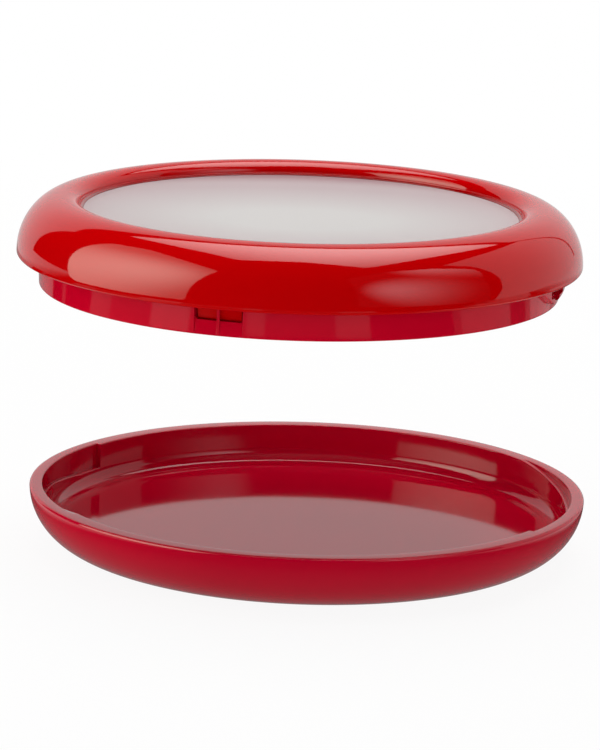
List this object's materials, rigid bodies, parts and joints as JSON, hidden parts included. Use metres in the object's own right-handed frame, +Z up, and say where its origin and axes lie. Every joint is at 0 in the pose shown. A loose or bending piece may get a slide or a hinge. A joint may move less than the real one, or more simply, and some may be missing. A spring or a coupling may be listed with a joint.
{
  "type": "tomato saver",
  "caption": "Round food saver: a shallow twist-lock dish and a domed-ring lid with a frosted stretch membrane, shown lifted open.",
  "frame": {"origin": "on the dish's axis, in the plane its foot ring and pad stand on", "axes": "+Z up along the dish's axis, -Y towards the viewer of the picture, +X to their right"},
  "size_m": [0.1267, 0.124, 0.0784],
  "materials": {
    "dish_red": "polished",
    "frosted_membrane": "frosted",
    "bezel_red": "polished",
    "collar_red": "polished"
  },
  "bodies": {
    "dish_body": {"dish": "dish_red"},
    "lid_membrane_body": {"stretch_membrane": "frosted_membrane"},
    "lid_ring_body": {"lid_bezel": "bezel_red", "locking_collar": "collar_red"}
  },
  "joints": [
    {"name": "lid_lift", "type": "slide", "parent": "dish_body", "child": "lid_membrane_body", "axis": [-0.062, 0, 0.9981], "range_m": [-0.05159, 0]},
    {"name": "lid_twist", "type": "hinge", "parent": "lid_membrane_body", "child": "lid_ring_body", "pos_m": [-0.0032, 0, 0.07545], "axis": [0, 0, 1], "range_deg": [-6.8, 0]}
  ]
}
